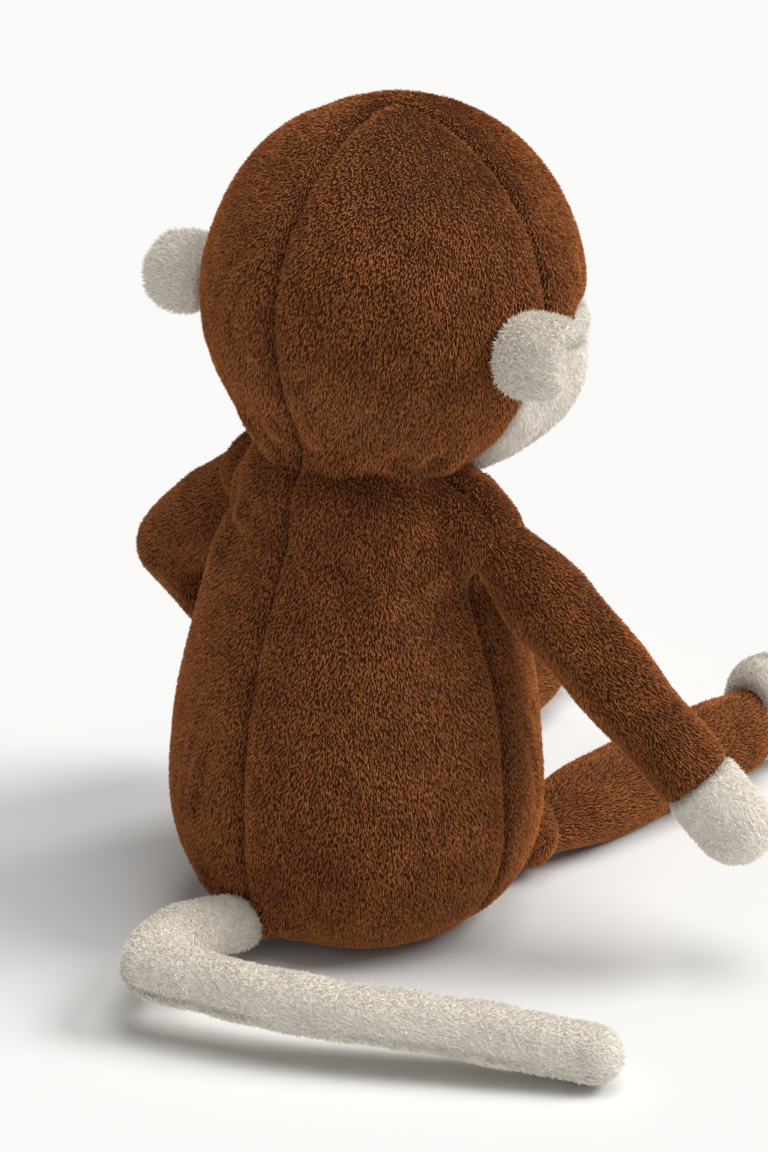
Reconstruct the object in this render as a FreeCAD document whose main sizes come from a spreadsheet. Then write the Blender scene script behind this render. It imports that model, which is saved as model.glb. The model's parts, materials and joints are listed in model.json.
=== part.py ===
import FreeCAD, Part
import math
import os
import Sketcher

# Stuffed monkey, seated. It faces -Y, its left is +X, and +Z is up.
# The origin is the middle of the flat seat that it rests on. Millimetres.

SIZES = [
    # fabric and clearances
    ("fabric", 2.0), ("fillGap", 0.2), ("jointGap", 0.5), ("socketRoom", 3),
    # torso: a pear turned about Z
    ("baseRadius", 40), ("bellyRadius", 60), ("bellyHeight", 41),
    ("neckRadius", 38), ("neckHeight", 132),
    ("neckPivotHeight", 140), ("neckBall", 28),
    ("pelletBagRadius", 36), ("pelletBagHalfHeight", 12), ("pelletBagHeight", 17),
    # head
    ("headHeight", 201), ("headForward", 17),
    ("skullHalfWidth", 60), ("skullHalfDepth", 60), ("skullHalfHeight", 60),
    ("muzzleForward", 22), ("muzzleDrop", 24),
    ("muzzleHalfWidth", 53), ("muzzleHalfDepth", 42), ("muzzleHalfHeight", 34),
    ("faceSeamDrop", 2), ("faceSeamForward", 22), ("faceSeamSlope", 47),
    # face
    ("eyeRadius", 5), ("eyeSpread", 17), ("eyeRaise", 9),
    ("eyePostRadius", 1.5), ("eyePostLength", 9), ("washerRadius", 5.5), ("washerThickness", 1.2),
    ("noseHalfWidth", 6), ("noseHalfHeight", 3.6), ("noseDrop", 12), ("threadProud", 1.2),
    ("mouthRadius", 27), ("mouthWidth", 1.6), ("mouthDrop", 8), ("mouthHalfAngle", 62),
    # ears: cups that stand out behind the side seams and open forwards and down
    ("earReach", 25), ("earHalfHeight", 15), ("earHalfDepth", 15), ("earLayer", 3),
    ("earTurn", 18), ("earDrop", 4), ("earOpening", 45), ("earSink", 4),
    # arms
    ("shoulderSpread", 47), ("shoulderForward", 6), ("shoulderHeight", 134),
    ("armBall", 10), ("armTaper", 26), ("armRadius", 15), ("elbowRadius", 14),
    ("upperArmLength", 54), ("elbowFold", 12), ("forearmLength", 43), ("wristRadius", 13),
    ("handRadius", 13.5), ("handLength", 32),
    ("rightArmDrop", 47), ("rightArmForward", 19),
    ("leftArmDrop", 42), ("leftArmForward", 11),
    ("leftForearmDrop", 53), ("leftForearmForward", 100),
    # legs
    ("hipSpread", 31), ("hipForward", 48), ("legBall", 10), ("legTaper", 26), ("legRadius", 14.5),
    ("legLength", 114), ("legSplay", 7),
    ("footHalfWidth", 17), ("footHalfHeight", 20), ("footHalfDepth", 15), ("footSetBack", 5),
    # tail
    ("tailRadius", 10.2), ("tailFold", 11.2),
]

doc = FreeCAD.newDocument("StuffedMonkey")
sheet = doc.addObject("Spreadsheet::Sheet", "Sizes")
for row, (alias, amount) in enumerate(SIZES, start=1):
    sheet.set("A%d" % row, alias)
    sheet.set("B%d" % row, str(amount))
    sheet.setAlias("B%d" % row, alias)
doc.recompute()


class Size:
    """A number together with the expression that gives it from the sheet."""

    def __init__(self, value, text):
        self.value = float(value)
        self.text = text

    def joined(self, sign, other, value):
        return Size(value, "(%s %s %s)" % (self.text, sign, size(other).text))

    def __add__(self, other):
        return self.joined("+", other, self.value + size(other).value)

    def __sub__(self, other):
        return self.joined("-", other, self.value - size(other).value)

    def __mul__(self, other):
        return self.joined("*", other, self.value * size(other).value)

    def __neg__(self):
        return Size(-self.value, "(-1 * %s)" % self.text)


def size(item):
    """The named cell, or a plain number, as a Size."""
    if isinstance(item, Size):
        return item
    if isinstance(item, str):
        return Size(float(sheet.get(item)), "Sizes.%s" % item)
    return Size(item, repr(float(item)))


def root(square):
    return Size(math.sqrt(square.value), "sqrt(%s)" % square.text)


def bind(thing, prop, amount):
    thing.setExpression(prop, size(amount).text)


def place(thing, x=0, y=0, z=0):
    for axis, amount in zip("xyz", (x, y, z)):
        bind(thing, "Placement.Base." + axis, amount)
    return thing


def turned(name, path):
    """A body turned about its own Z axis. path alternates corners (radius, height) with the
    edge to the next corner: 'line', 'ball' (an arc centred on the axis), or a Size, the
    height of the arc's centre."""
    corners, edges = path[0::2], path[1::2]
    body = doc.addObject("PartDesign::Body", name)
    plane = [f for f in body.Origin.OriginFeatures if f.Role == "XZ_Plane"][0]
    sketch = body.newObject("Sketcher::SketchObject", name + "Profile")
    sketch.AttachmentSupport = [(plane, "")]
    sketch.MapMode = "FlatFace"
    ends = []
    for index, edge in enumerate(edges):
        start = corner_point(corners[index])
        end = corner_point(corners[(index + 1) % len(corners)])
        if edge == "line":
            sketch.addGeometry(Part.LineSegment(start, end), False)
            ends.append((1, 2))
            continue
        centre = arc_centre(start, end, edge)
        half = (start + end).multiply(0.5) - centre
        half.normalize()
        middle = centre + half.multiply((start - centre).Length)
        arc = Part.Arc(start, middle, end)
        sketch.addGeometry(arc, False)
        first = sketch.getPoint(index, 1)
        ends.append((1, 2) if (first - start).Length < 1e-6 else (2, 1))
    for index, edge in enumerate(edges):
        after = (index + 1) % len(edges)
        sketch.addConstraint(Sketcher.Constraint(
            "Coincident", index, ends[index][1], after, ends[after][0]))
        pin_point(sketch, index, ends[index][0], *corners[index])
        if edge == "ball":
            sketch.addConstraint(Sketcher.Constraint("PointOnObject", index, 3, -2))
        elif edge != "line":
            pin_height(sketch, index, 3, edge)
    turn = body.newObject("PartDesign::Revolution", name + "Turn")
    turn.Profile = sketch
    turn.ReferenceAxis = (sketch, ["V_Axis"])
    turn.Angle = 360
    body.Tip = turn
    return body


def corner_point(corner):
    return FreeCAD.Vector(size(corner[0]).value, size(corner[1]).value, 0)


def arc_centre(start, end, edge):
    if edge == "ball":
        rise = (end.y ** 2 + end.x ** 2 - start.y ** 2 - start.x ** 2) / (2 * (end.y - start.y))
        return FreeCAD.Vector(0, rise, 0)
    level = size(edge).value
    reach = (start.x ** 2 - end.x ** 2 + (start.y - level) ** 2 - (end.y - level) ** 2)
    return FreeCAD.Vector(reach / (2 * (start.x - end.x)), level, 0)


def pin_point(sketch, edge, end, radius, height):
    if size(radius).value == 0:
        sketch.addConstraint(Sketcher.Constraint("PointOnObject", edge, end, -2))
    else:
        pin_distance(sketch, "DistanceX", edge, end, size(radius))
    pin_height(sketch, edge, end, height)


def pin_height(sketch, edge, end, height):
    if size(height).value == 0:
        sketch.addConstraint(Sketcher.Constraint("PointOnObject", edge, end, -1))
    else:
        pin_distance(sketch, "DistanceY", edge, end, size(height))


def pin_distance(sketch, kind, edge, end, amount):
    if amount.value > 0:
        order = (-1, 1, edge, end)
    else:
        order = (edge, end, -1, 1)
        amount = -amount
    number = sketch.addConstraint(Sketcher.Constraint(kind, *order, amount.value))
    sketch.setExpression("Constraints[%d]" % number, amount.text)


def ellipsoid(name, half_x, half_y, half_z):
    solid = doc.addObject("Part::Ellipsoid", name)
    bind(solid, "Radius1", half_z)
    bind(solid, "Radius2", half_x)
    bind(solid, "Radius3", half_y)
    return solid


def sphere(name, radius):
    solid = doc.addObject("Part::Sphere", name)
    bind(solid, "Radius", radius)
    return solid


def cylinder(name, radius, height):
    solid = doc.addObject("Part::Cylinder", name)
    bind(solid, "Radius", radius)
    bind(solid, "Height", height)
    return solid


def half_space(name, corner, rotation=None):
    """A block far larger than the toy, its low corner edge lines placed at corner."""
    block = doc.addObject("Part::Box", name)
    for side in ("Length", "Width", "Height"):
        setattr(block, side, BLOCK)
    block.Placement = FreeCAD.Placement(FreeCAD.Vector(*corner), rotation or FreeCAD.Rotation())
    return block


BLOCK = 600.0


def pair(kind, name, base, tool):
    result = doc.addObject("Part::" + kind, name)
    result.Base = base
    result.Tool = tool
    return result


def cut(name, base, tool):
    return pair("Cut", name, base, tool)


def common(name, base, tool):
    return pair("Common", name, base, tool)


def fused(name, *solids):
    result = doc.addObject("Part::MultiFuse", name)
    result.Shapes = list(solids)
    return result


nodes = {}


def node(name, thing):
    thing.Label = name
    nodes[name] = thing
    return thing


fabric, gap = size("fabric"), size("jointGap")
skin_in = fabric + "fillGap"            # from a cover's outside to its stuffing


# ---- torso ---------------------------------------------------------------------------------

def torso_profile(inset, foot):
    """The pear's outline, drawn in by inset, from the seat up to the neck opening."""
    belly = size("bellyRadius") - inset
    neck = size("neckRadius") - inset
    return [(0, foot), "line", (size("baseRadius") - inset, foot), size("bellyHeight"),
            (belly, "bellyHeight"), size("bellyHeight"), (neck, "neckHeight"), "line",
            (0, "neckHeight"), "line"]


def build_torso(sockets):
    outer = turned("torsoOutside", torso_profile(size(0), 0))
    inner = turned("torsoInside", torso_profile(fabric, fabric))
    fill = turned("torsoFill", torso_profile(skin_in, skin_in))
    gusset = cylinder("seatDisc", size("baseRadius") - fabric, fabric)
    core = fused("torsoCore", inner, gusset)
    cover = cut("torsoCover", cut("torsoShell", outer, core), sockets)
    behind = half_space("behindSideSeams", (-BLOCK / 2, 0, -BLOCK / 2))
    left = half_space("leftOfBackSeam", (0, -BLOCK / 2, -BLOCK / 2))
    back = common("backCover", cover, behind)
    node("body_back_left", common("bodyBackLeft", back, left))
    node("body_back_right", cut("bodyBackRight", back, left))
    node("body_belly_panel", cut("bodyBelly", cover, behind))
    node("seat_gusset", gusset)
    bag = place(ellipsoid("pelletBag", "pelletBagRadius", "pelletBagRadius",
                          "pelletBagHalfHeight"), z="pelletBagHeight")
    pocket = place(ellipsoid("pelletPocket", size("pelletBagRadius") + "fillGap",
                             size("pelletBagRadius") + "fillGap",
                             size("pelletBagHalfHeight") + "fillGap"), z="pelletBagHeight")
    node("pellet_bag", bag)
    node("body_stuffing", cut("bodyStuffing", cut("pocketedFill", fill, pocket), sockets))


# ---- head ----------------------------------------------------------------------------------

head_y = -size("headForward")


def head_form(name, inset):
    """Skull and muzzle in one, drawn in by inset."""
    skull = ellipsoid(name + "Skull", *[size(s) - inset for s in (
        "skullHalfWidth", "skullHalfDepth", "skullHalfHeight")])
    muzzle = ellipsoid(name + "Muzzle", *[size(s) - inset for s in (
        "muzzleHalfWidth", "muzzleHalfDepth", "muzzleHalfHeight")])
    place(skull, 0, head_y, "headHeight")
    place(muzzle, 0, head_y - "muzzleForward", size("headHeight") - "muzzleDrop")
    return fused(name, skull, muzzle)


def face_wedge():
    """Everything below the face seam: under its level front run and its sloping sides."""
    corner_y = (head_y - "faceSeamForward").value
    corner_z = (size("headHeight") - "faceSeamDrop").value
    level = half_space("underFaceSeam", (-BLOCK / 2, corner_y - BLOCK / 2, corner_z - BLOCK))
    tilt = FreeCAD.Rotation(FreeCAD.Vector(1, 0, 0), size("faceSeamSlope").value)
    offset = tilt.multVec(FreeCAD.Vector(0, -BLOCK, -BLOCK / 2))
    slope = half_space("aheadOfJawSeam", (-BLOCK / 2, corner_y + offset.y, corner_z + offset.z),
                       tilt)
    return common("faceRegion", level, slope)


def on_head(x, z):
    """The point of the skull's front at x, z from its middle, and the way out of the head."""
    half = [size(s).value for s in ("skullHalfWidth", "skullHalfDepth", "skullHalfHeight")]
    y = -half[1] * math.sqrt(1 - (x / half[0]) ** 2 - (z / half[2]) ** 2)
    centre = FreeCAD.Vector(0, head_y.value, size("headHeight").value)
    out = FreeCAD.Vector(x / half[0] ** 2, y / half[1] ** 2, z / half[2] ** 2)
    out.normalize()
    return centre + FreeCAD.Vector(x, y, z), out


def build_eye(side, outside):
    """A domed safety eye: its post goes through the cover into a washer."""
    sign = 1 if side == "left" else -1
    point, out = on_head(sign * size("eyeSpread").value, size("eyeRaise").value)
    turn = FreeCAD.Rotation(FreeCAD.Vector(0, 0, 1), -out)
    ball = sphere(side + "EyeBall", "eyeRadius")
    ball.Placement.Base = point - out * (size("eyeRadius").value * 0.35)
    dome = cut(side + "EyeDome", ball, outside)
    post = cylinder(side + "EyePost", "eyePostRadius", "eyePostLength")
    bore = cylinder(side + "EyeBore", size("eyePostRadius") + "fillGap",
                    size("eyePostLength") + "fillGap")
    start = point + out * 0.6
    post.Placement = bore.Placement = FreeCAD.Placement(start, turn)
    seat = point - out * (skin_in + "fillGap" + 0.4).value
    washer = cylinder(side + "WasherDisc", "washerRadius", "washerThickness")
    room = cylinder(side + "WasherRoom", size("washerRadius") + "fillGap",
                    size("washerThickness") + "fillGap")
    washer.Placement = room.Placement = FreeCAD.Placement(seat, turn)
    node(side + "_eye", fused(side + "Eye", dome, post))
    node(side + "_eye_washer", cut(side + "EyeWasher", washer, bore))
    return bore, room


def build_head():
    outside = head_form("headOutside", size(0))
    inside = head_form("headInside", fabric)
    fill = head_form("headFill", skin_in)
    neck = place(sphere("headNeckHollow", size("neckBall") + gap), z="neckPivotHeight")
    cover = cut("headCover", cut("headShell", outside, inside), neck)
    face = face_wedge()
    node("muzzle_panel", common("muzzlePanel", cover, face))
    brown = cut("headBrown", cover, face)
    behind = half_space("behindEarSeam", (-BLOCK / 2, head_y.value, -BLOCK / 2))
    left = half_space("leftOfHeadSeam", (0, -BLOCK / 2, -BLOCK / 2))
    back = common("headBack", brown, behind)
    node("head_back_left", common("headBackLeft", back, left))
    node("head_back_right", cut("headBackRight", back, left))
    bores, rooms = zip(*[build_eye(side, outside) for side in ("left", "right")])
    brow = cut("headBrow", brown, behind)
    node("brow_panel", cut("browPanel", brow, fused("eyeBores", *bores)))
    hollows = fused("headHollows", neck, *bores, *rooms)
    node("head_stuffing", cut("headStuffing", fill, hollows))
    build_nose_and_mouth(outside)
    return outside


def build_nose_and_mouth(outside):
    """Satin-stitched nose and smile, standing proud of the muzzle by the thread's thickness."""
    proud = head_form("threadForm", -size("threadProud"))
    pad = cut("threadLayer", proud, outside)
    high = size("headHeight") - "muzzleDrop"
    nose = doc.addObject("Part::Ellipsoid", "noseOutline")
    bind(nose, "Radius1", "noseHalfHeight")
    bind(nose, "Radius2", "noseHalfWidth")
    nose.Radius3 = BLOCK / 10
    place(nose, 0, head_y - "muzzleForward" - "muzzleHalfDepth",
          size("headHeight") - "noseDrop")
    node("nose", common("noseStitch", pad, nose))
    ring = cylinder("mouthRing", "mouthRadius", "muzzleHalfDepth")
    core = cylinder("mouthCore", size("mouthRadius") - "mouthWidth", "muzzleHalfDepth")
    sweep = 2 * size("mouthHalfAngle").value
    ring.Angle = sweep
    lie = FreeCAD.Rotation(FreeCAD.Vector(1, 0, 0), 90)
    spin = FreeCAD.Rotation(FreeCAD.Vector(0, 0, 1), -90 - sweep / 2)
    ring.Placement.Rotation = lie * spin
    core.Placement.Rotation = lie
    for thing in (ring, core):
        place(thing, 0, head_y - "muzzleForward" - 10, high + "mouthRadius" - "mouthDrop" - 6)
    node("mouth", common("mouthStitch", pad, cut("mouthBand", ring, core)))


# ---- ears ----------------------------------------------------------------------------------

def build_ear(side, head):
    """Two layers of fabric in a cup, sewn to the head along a C that is open in front."""
    sign = 1 if side == "left" else -1
    forms = []
    for number in range(3):
        inset = size("earLayer") * number
        forms.append(ellipsoid("%sEarForm%d" % (side, number), *[size(s) - inset for s in (
            "earReach", "earHalfDepth", "earHalfHeight")]))
    mouth = doc.addObject("Part::Box", side + "EarMouth")
    mouth.Length = mouth.Width = mouth.Height = BLOCK
    tilt = FreeCAD.Rotation(FreeCAD.Vector(1, 0, 0), size("earOpening").value)
    mouth.Placement = FreeCAD.Placement(
        tilt.multVec(FreeCAD.Vector(-BLOCK / 2, -BLOCK, -BLOCK / 2)), tilt)
    turn = size("earTurn").value
    out = FreeCAD.Rotation(FreeCAD.Vector(0, 0, 1), turn if sign > 0 else 180 - turn)
    seat = out.multVec(FreeCAD.Vector((size("skullHalfWidth") - "earSink").value, 0, 0))
    seat += FreeCAD.Vector(0, head_y.value, (size("headHeight") - "earDrop").value)
    for word, outer, inner in (("back", 0, 1), ("front", 1, 2)):
        layer = cut("%sEarLayer%d" % (side, outer), forms[outer], forms[inner])
        open_layer = cut("%sEarOpen%d" % (side, outer), layer, mouth)
        if sign < 0:
            open_layer = mirrored(open_layer)
        open_layer.Placement = FreeCAD.Placement(seat, out)
        node("%s_ear_%s" % (side, word), cut("%sEar%s" % (side, word), open_layer, head))


def mirrored(layer):
    """The same layer for the other side, front for back, because it is then turned round."""
    flipped = doc.addObject("Part::Mirroring", layer.Name + "Flipped")
    flipped.Source = layer
    flipped.Normal = (0, 1, 0)
    return flipped


# ---- limbs ---------------------------------------------------------------------------------

def heading(drop, forward, side):
    """A unit vector: forward degrees round from straight out sideways, drop degrees down."""
    sign = 1 if side == "left" else -1
    down, ahead = math.radians(drop), math.radians(forward)
    return FreeCAD.Vector(sign * math.cos(down) * math.cos(ahead),
                          -math.cos(down) * math.sin(ahead), -math.sin(down))


def aimed(start, along):
    """The placement that turns local +Z along the limb and keeps local +Y as near up as it goes."""
    up = FreeCAD.Vector(0, 0, 1)
    across = up.cross(along)
    across.normalize()
    return FreeCAD.Placement(start, FreeCAD.Rotation(across, along.cross(across), along, "ZYX"))


def root_ball(inset, ball):
    """The closed, rounded end of a limb where it is sewn on: pole, then the ball's widest."""
    return [(0, inset - ball), "ball", (size(ball) - inset, 0), "line"]


def build_arm(side, upper_way, fore_way):
    shoulder = FreeCAD.Vector((1 if side == "left" else -1) * size("shoulderSpread").value,
                              -size("shoulderForward").value, size("shoulderHeight").value)
    elbow = shoulder + upper_way * size("upperArmLength").value
    end = size("upperArmLength") - "elbowFold"
    dish = size("elbowRadius") + gap
    dish_rim = root(dish * dish - size("elbowFold") * "elbowFold")
    ball, full, bend = size("armBall"), size("armRadius"), size("elbowRadius")
    sleeve = turned(side + "SleeveUpper", root_ball(size(0), ball) + [
        (full, "armTaper"), "line", (bend, end), "line", (bend - fabric, end), "line",
        (full - fabric, "armTaper"), "line", (ball - fabric, 0), "ball",
        (0, fabric - ball), "line"])
    fill = turned(side + "ArmFillUpper", root_ball(skin_in, ball) + [
        (full - skin_in, "armTaper"), "line", (bend - skin_in, end), "line",
        (dish_rim, end), "ball", (0, size("upperArmLength") - dish), "line"])
    upper = aimed(shoulder, upper_way)
    sleeve.Placement = fill.Placement = upper
    node(side + "_upper_sleeve", sleeve)
    node(side + "_upper_arm_stuffing", fill)
    build_forearm(side, aimed(elbow, fore_way))


def build_forearm(side, placement):
    bend, wrist, hand = size("elbowRadius"), size("wristRadius"), size("handRadius")
    length = size("forearmLength")
    palm = length + "handLength" - hand
    sleeve = turned(side + "SleeveLower", root_ball(size(0), bend) + [
        (wrist, length), "line", (wrist - fabric, length), "line", (bend - fabric, 0), "ball",
        (0, fabric - bend), "line"])
    cover = turned(side + "HandCover", [
        (wrist, length), "line", (hand, palm), "ball", (0, palm + hand), "line",
        (0, palm + hand - fabric), "ball", (hand - fabric, palm), "line",
        (wrist - fabric, length), "line"])
    fill = turned(side + "ForearmFill", root_ball(skin_in, bend) + [
        (wrist - skin_in, length), "line", (hand - skin_in, palm), "ball",
        (0, palm + hand - skin_in), "line"])
    for name, thing in (("_lower_sleeve", sleeve), ("_hand", cover), ("_forearm_stuffing", fill)):
        thing.Placement = placement
        node(side + name, thing)


def foot_form(side, name, inset):
    """The upright foot, drawn in by inset, with its heel on the floor."""
    form = ellipsoid(side + name, *[size(s) - inset for s in (
        "footHalfWidth", "footHalfHeight", "footHalfDepth")])
    return place(form, 0, size("footHalfHeight") - "legRadius",
                 size("legLength") + "footHalfDepth" - "footSetBack")


def build_leg(side):
    sign = 1 if side == "left" else -1
    hip = FreeCAD.Vector(sign * size("hipSpread").value, -size("hipForward").value,
                         size("legRadius").value)
    placement = aimed(hip, heading(0, 90 - size("legSplay").value, side))
    ball, full, length = size("legBall"), size("legRadius"), size("legLength")
    tube = turned(side + "LegTube", root_ball(size(0), ball) + [
        (full, "legTaper"), "line", (full, length), "line", (full - fabric, length), "line",
        (full - fabric, "legTaper"), "line", (ball - fabric, 0), "ball",
        (0, fabric - ball), "line"])
    core = turned(side + "LegCore", root_ball(skin_in, ball) + [
        (full - skin_in, "legTaper"), "line", (full - skin_in, length), "line",
        (0, length), "line"])
    outside = foot_form(side, "FootOutside", size(0))
    shell = cut(side + "FootShell", outside, foot_form(side, "FootInside", fabric))
    opening = place(cylinder(side + "AnkleOpening", full - fabric, length), 0, 0, 0)
    toe = half_space(side + "AheadOfSole", (
        -BLOCK / 2, -BLOCK / 2, (length + "footHalfDepth" - "footSetBack").value))
    open_shell = cut(side + "FootOpen", shell, opening)
    parts = (
        ("_leg_sleeve", cut(side + "LegSleeve", tube, outside)),
        ("_foot", cut(side + "Foot", open_shell, toe)),
        ("_sole", common(side + "Sole", open_shell, toe)),
        ("_leg_stuffing", fused(side + "LegStuffing", core,
                                foot_form(side, "FootFill", skin_in))),
    )
    for name, thing in parts:
        thing.Placement = placement
        node(side + name, thing)
    return hip


# ---- tail ----------------------------------------------------------------------------------

# The tail's route: out of the seat's back, a little off the floor, and round to the toy's
# right, where its tip rests. The third point is the bend where the tail folds.
TAIL_ROUTE = [(5, 56, 12), (12, 80, 16), (-4, 107, 20), (-50, 95, 18), (-90, 72, 14.5),
              (-129, 53, 10.2)]
TAIL_BEND = 2


def tail_tube(points, radius):
    """A round bar along straight runs joined by tangent arcs, each as large as fits."""
    pieces = []
    at = points[0]
    for before, corner, after in zip(points, points[1:], points[2:]):
        back, ahead = (before - corner), (after - corner)
        shared = [run.Length * (1 if end in (points[0], points[-1]) else 0.5)
                  for run, end in ((back, before), (ahead, after))]
        trim = 0.95 * min(shared)
        back.normalize()
        ahead.normalize()
        enter, leave = corner + back * trim, corner + ahead * trim
        turn = math.pi - back.getAngle(ahead)
        middle = back + ahead
        middle.normalize()
        centre = corner + middle * (trim / math.sin(turn / 2))
        disc = Part.Face(Part.Wire(Part.Circle(enter, back, radius).toShape()))
        pieces.append(Part.makeCylinder(radius, (enter - at).Length, at, -back))
        pieces.append(disc.revolve(centre, ahead.cross(back), math.degrees(turn)))
        at = leave
    end = points[-1] - at
    pieces.append(Part.makeCylinder(radius, end.Length, at, end))
    return pieces


def tail_form(name, points, inset, tip):
    """The tube, drawn in by inset, with a rounded start and, where tip is set, a rounded end."""
    radius = size("tailRadius").value - inset
    pieces = tail_tube(points, radius)
    ends = [(points[0], points[0] - points[1])]
    if tip:
        ends.append((points[-1], points[-1] - points[-2]))
    pieces += [Part.makeSphere(radius, point, out, 0, 90, 360) for point, out in ends]
    solid = pieces[0].fuse(pieces[1:])
    form = doc.addObject("Part::Feature", name)
    form.Shape = solid
    return form


def build_tail():
    route = [FreeCAD.Vector(*point) for point in TAIL_ROUTE]
    bend = route[TAIL_BEND]
    last = bend - route[TAIL_BEND - 1]
    last.normalize()
    root_route = route[:TAIL_BEND] + [bend - last * size("tailFold").value]
    for word, points, tip in (("Root", root_route, False), ("End", route[TAIL_BEND:], True)):
        outside = tail_form("tail%sOutside" % word, points, 0, tip)
        inside = tail_form("tail%sInside" % word, points, fabric.value, tip)
        fill = tail_form("tail%sFill" % word, points, skin_in.value, tip)
        node("tail_%s_cover" % word.lower(), cut("tail%sCover" % word, outside, inside))
        node("tail_%s_stuffing" % word.lower(), fill)
    return route[0], size("tailRadius") + gap


# ---- the whole toy ---------------------------------------------------------------------------

def socket(name, centre, radius):
    """A ball to cut from the torso, turned so that the ball's own seam lies clear of it."""
    hollow = sphere(name, radius)
    outward = math.degrees(math.atan2(centre.y, centre.x))
    turn = FreeCAD.Rotation(FreeCAD.Vector(0, 0, 1), outward)
    hollow.Placement = FreeCAD.Placement(centre, turn)
    return hollow


hips = [build_leg(side) for side in ("left", "right")]
tail_start, tail_room = build_tail()
hip_room = size("legBall") + gap + size("socketRoom") * 0.5
sockets = [socket("hipSocket%d" % n, hip, hip_room) for n, hip in enumerate(hips)]
sockets.append(socket("tailSocket", tail_start, tail_room))
for sign in (1, -1):
    at_shoulder = FreeCAD.Vector(sign * size("shoulderSpread").value,
                                 -size("shoulderForward").value, size("shoulderHeight").value)
    sockets.append(socket("shoulderSocket", at_shoulder, size("armBall") + gap + "socketRoom"))
sockets.append(place(sphere("neckSocket", size("neckBall") + gap), z="neckPivotHeight"))
build_torso(fused("torsoSockets", *sockets))
node("neck_stuffing", place(sphere("neckStuffing", "neckBall"), z="neckPivotHeight"))
head_outside = build_head()
for side in ("left", "right"):
    build_ear(side, head_outside)
right_way = heading(size("rightArmDrop").value, size("rightArmForward").value, "right")
build_arm("right", right_way, right_way)
build_arm("left", heading(size("leftArmDrop").value, size("leftArmForward").value, "left"),
          heading(size("leftForearmDrop").value, size("leftForearmForward").value, "left"))

doc.recompute()
for thing in doc.Objects:
    if "Invalid" in thing.State or "Error" in thing.State:
        raise RuntimeError("%s did not build: %s" % (thing.Label, thing.State))
os.makedirs("parts", exist_ok=True)
for name, thing in nodes.items():
    shape = thing.Shape
    if shape.isNull() or not shape.isValid() or not shape.Solids:
        raise RuntimeError("%s has no valid solid" % name)
    shape.exportStep("parts/%s.step" % name)
    print("%-24s %d solid, %.1f cm3" % (name, len(shape.Solids), shape.Volume / 1000))
print(len(nodes), "nodes")
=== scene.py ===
import json
import math

import bpy
import numpy as np
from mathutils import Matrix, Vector, noise

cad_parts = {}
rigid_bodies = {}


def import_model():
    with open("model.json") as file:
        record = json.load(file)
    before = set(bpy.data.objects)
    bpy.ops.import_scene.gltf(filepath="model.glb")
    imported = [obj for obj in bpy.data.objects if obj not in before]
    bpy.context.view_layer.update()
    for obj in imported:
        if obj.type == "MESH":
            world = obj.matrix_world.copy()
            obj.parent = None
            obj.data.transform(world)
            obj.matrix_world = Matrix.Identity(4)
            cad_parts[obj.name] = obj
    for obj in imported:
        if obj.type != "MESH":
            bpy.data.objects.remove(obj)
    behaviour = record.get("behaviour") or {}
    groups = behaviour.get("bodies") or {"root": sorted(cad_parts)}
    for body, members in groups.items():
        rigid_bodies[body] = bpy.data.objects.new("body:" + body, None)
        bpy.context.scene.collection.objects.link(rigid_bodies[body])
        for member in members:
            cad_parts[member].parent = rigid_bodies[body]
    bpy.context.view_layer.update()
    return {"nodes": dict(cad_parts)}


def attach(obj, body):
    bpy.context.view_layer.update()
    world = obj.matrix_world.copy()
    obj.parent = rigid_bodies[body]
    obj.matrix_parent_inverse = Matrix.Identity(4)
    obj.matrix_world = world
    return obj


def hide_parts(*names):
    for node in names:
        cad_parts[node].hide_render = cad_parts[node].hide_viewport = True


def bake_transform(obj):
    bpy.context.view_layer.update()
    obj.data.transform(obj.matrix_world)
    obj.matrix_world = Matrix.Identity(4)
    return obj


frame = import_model()
nodes = frame["nodes"]
scene = bpy.context.scene
print("frame loaded:", len(nodes), "CAD nodes")


# selection, joining and modifiers

def pick(*things):
    for other in bpy.context.view_layer.objects:
        other.select_set(False)
    for thing in things:
        thing.select_set(True)
    bpy.context.view_layer.objects.active = things[0]


def edit(thing):
    pick(thing)
    bpy.ops.object.mode_set(mode="EDIT")


def leaveEdit():
    bpy.ops.object.mode_set(mode="OBJECT")


def joined(name, things):
    pick(*things)
    if len(things) > 1:
        bpy.ops.object.join()
    thing = bpy.context.view_layer.objects.active
    thing.name = thing.data.name = name
    bpy.ops.object.transform_apply(location=True, rotation=True, scale=True)
    return thing


def modified(thing, kind, **settings):
    pick(thing)
    modifier = thing.modifiers.new(kind.title(), kind)
    for key, value in settings.items():
        setattr(modifier, key, value)
    bpy.ops.object.modifier_apply(modifier=modifier.name)
    return thing


def readSpots(thing):
    spots = np.zeros(len(thing.data.vertices) * 3)
    thing.data.vertices.foreach_get("co", spots)
    return spots.reshape(-1, 3)


def writeSpots(thing, spots):
    thing.data.vertices.foreach_set("co", spots.ravel())
    thing.data.update()


def readNormals(thing):
    normals = np.zeros(len(thing.data.vertices) * 3)
    thing.data.vertex_normals.foreach_get("vector", normals)
    return normals.reshape(-1, 3)


def faceMiddles(thing):
    middles = np.zeros(len(thing.data.polygons) * 3)
    thing.data.polygons.foreach_get("center", middles)
    return middles.reshape(-1, 3)


def storeOn(thing, name, values, kind="FLOAT", domain="POINT"):
    layer = thing.data.attributes.get(name) or thing.data.attributes.new(name, kind, domain)
    key = "vector" if kind == "FLOAT_VECTOR" else "value"
    layer.data.foreach_set(key, np.asarray(values, np.float32).ravel())


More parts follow.
